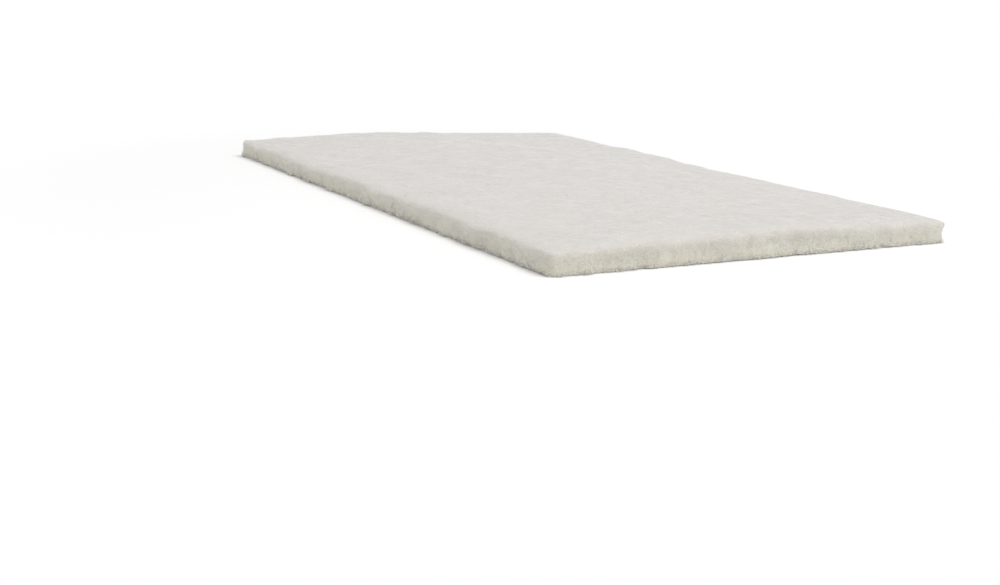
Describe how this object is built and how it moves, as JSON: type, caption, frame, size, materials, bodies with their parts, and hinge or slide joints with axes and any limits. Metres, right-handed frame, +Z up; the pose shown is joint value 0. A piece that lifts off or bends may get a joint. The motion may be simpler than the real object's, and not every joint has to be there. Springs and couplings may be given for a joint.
{
  "type": "scouring pad",
  "caption": "Flat rectangular scouring pad cut from a thick, springy off-white nonwoven nylon web, with a low crown, soft upper edges and ragged cut sides.",
  "frame": {"origin": "middle of the flat underside", "axes": "+X along the long sides, +Y along the short sides, +Z up through the web"},
  "size_m": [0.2292, 0.152, 0.0095],
  "materials": {
    "nylon_web": "matt undyed nonwoven nylon fibre, warm off-white, felted and lofty"
  },
  "bodies": {
    "root": {"scouring_pad": "nylon_web"}
  },
  "joints": []
}
